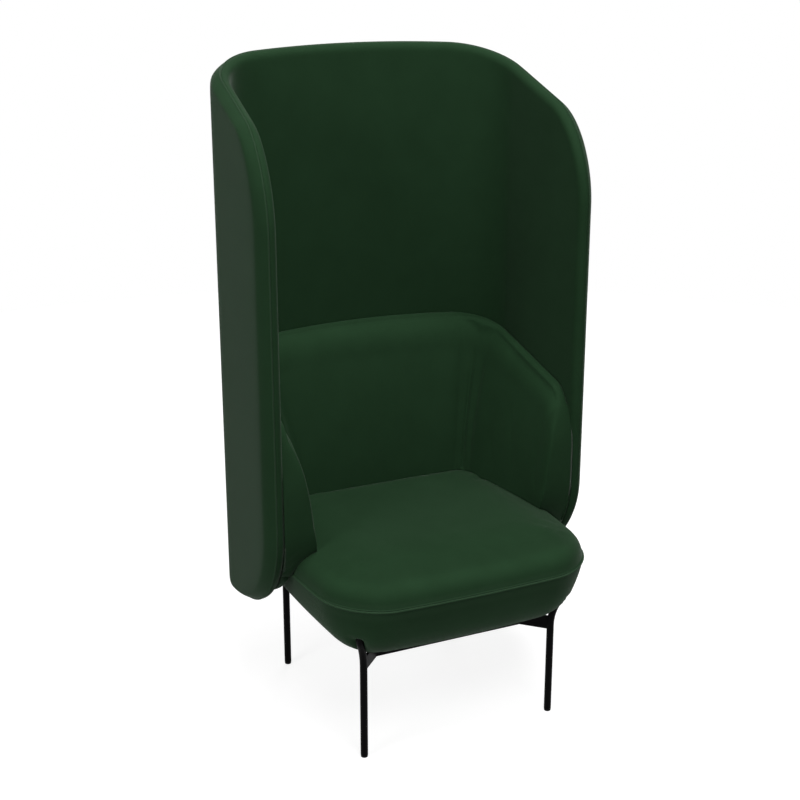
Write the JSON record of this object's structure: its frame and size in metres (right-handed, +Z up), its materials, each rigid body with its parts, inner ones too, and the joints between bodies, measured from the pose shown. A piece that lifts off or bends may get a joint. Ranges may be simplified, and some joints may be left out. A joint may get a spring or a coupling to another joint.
{
  "type": "acoustic high back lounge chair",
  "caption": "Lounge chair with a tall rounded U-shaped acoustic screen around a padded seat, back and arms, on a slim four-legged steel frame.",
  "frame": {"origin": "on the floor, at the middle of the chair's overall width and depth", "axes": "+Z up, the chair looks along -Y, +X to the right as seen from the front"},
  "size_m": [0.7632, 0.6743, 1.4295],
  "materials": {
    "cover_fabric": "woven wool, matt",
    "welt_fabric": "woven wool, matt",
    "padding": "plain moulded foam",
    "plywood": "raw plywood",
    "frame_steel": "satin powder coat",
    "glide_plastic": "matt",
    "fastener_steel": "plain zinc"
  },
  "bodies": {
    "root": {"back_base_board": "plywood", "back_cover": "cover_fabric", "back_foam": "padding", "back_shell": "plywood", "board_screws": "fastener_steel", "glide_front_left": "glide_plastic", "glide_front_right": "glide_plastic", "glide_rear_left": "glide_plastic", "glide_rear_right": "glide_plastic", "gusset_front_left": "frame_steel", "gusset_front_right": "frame_steel", "gusset_rear_left": "frame_steel", "gusset_rear_right": "frame_steel", "join_plate_left": "frame_steel", "join_plate_right": "frame_steel", "joining_bolts": "fastener_steel", "joining_nuts": "fastener_steel", "leg_front_left": "frame_steel", "leg_front_right": "frame_steel", "leg_pad_front_left": "frame_steel", "leg_pad_front_right": "frame_steel", "leg_pad_rear_left": "frame_steel", "leg_pad_rear_right": "frame_steel", "leg_rear_left": "frame_steel", "leg_rear_right": "frame_steel", "rail_front": "frame_steel", "rail_left": "frame_steel", "rail_rear": "frame_steel", "rail_right": "frame_steel", "screen_core": "plywood", "screen_cover_inner": "cover_fabric", "screen_cover_outer": "cover_fabric", "screen_foam_inner": "padding", "screen_foam_outer": "padding", "seat_board": "plywood", "seat_cover_lower": "cover_fabric", "seat_cover_upper": "cover_fabric", "seat_foam_lower": "padding", "seat_foam_upper": "padding", "seat_welt": "welt_fabric"}
  },
  "joints": []
}
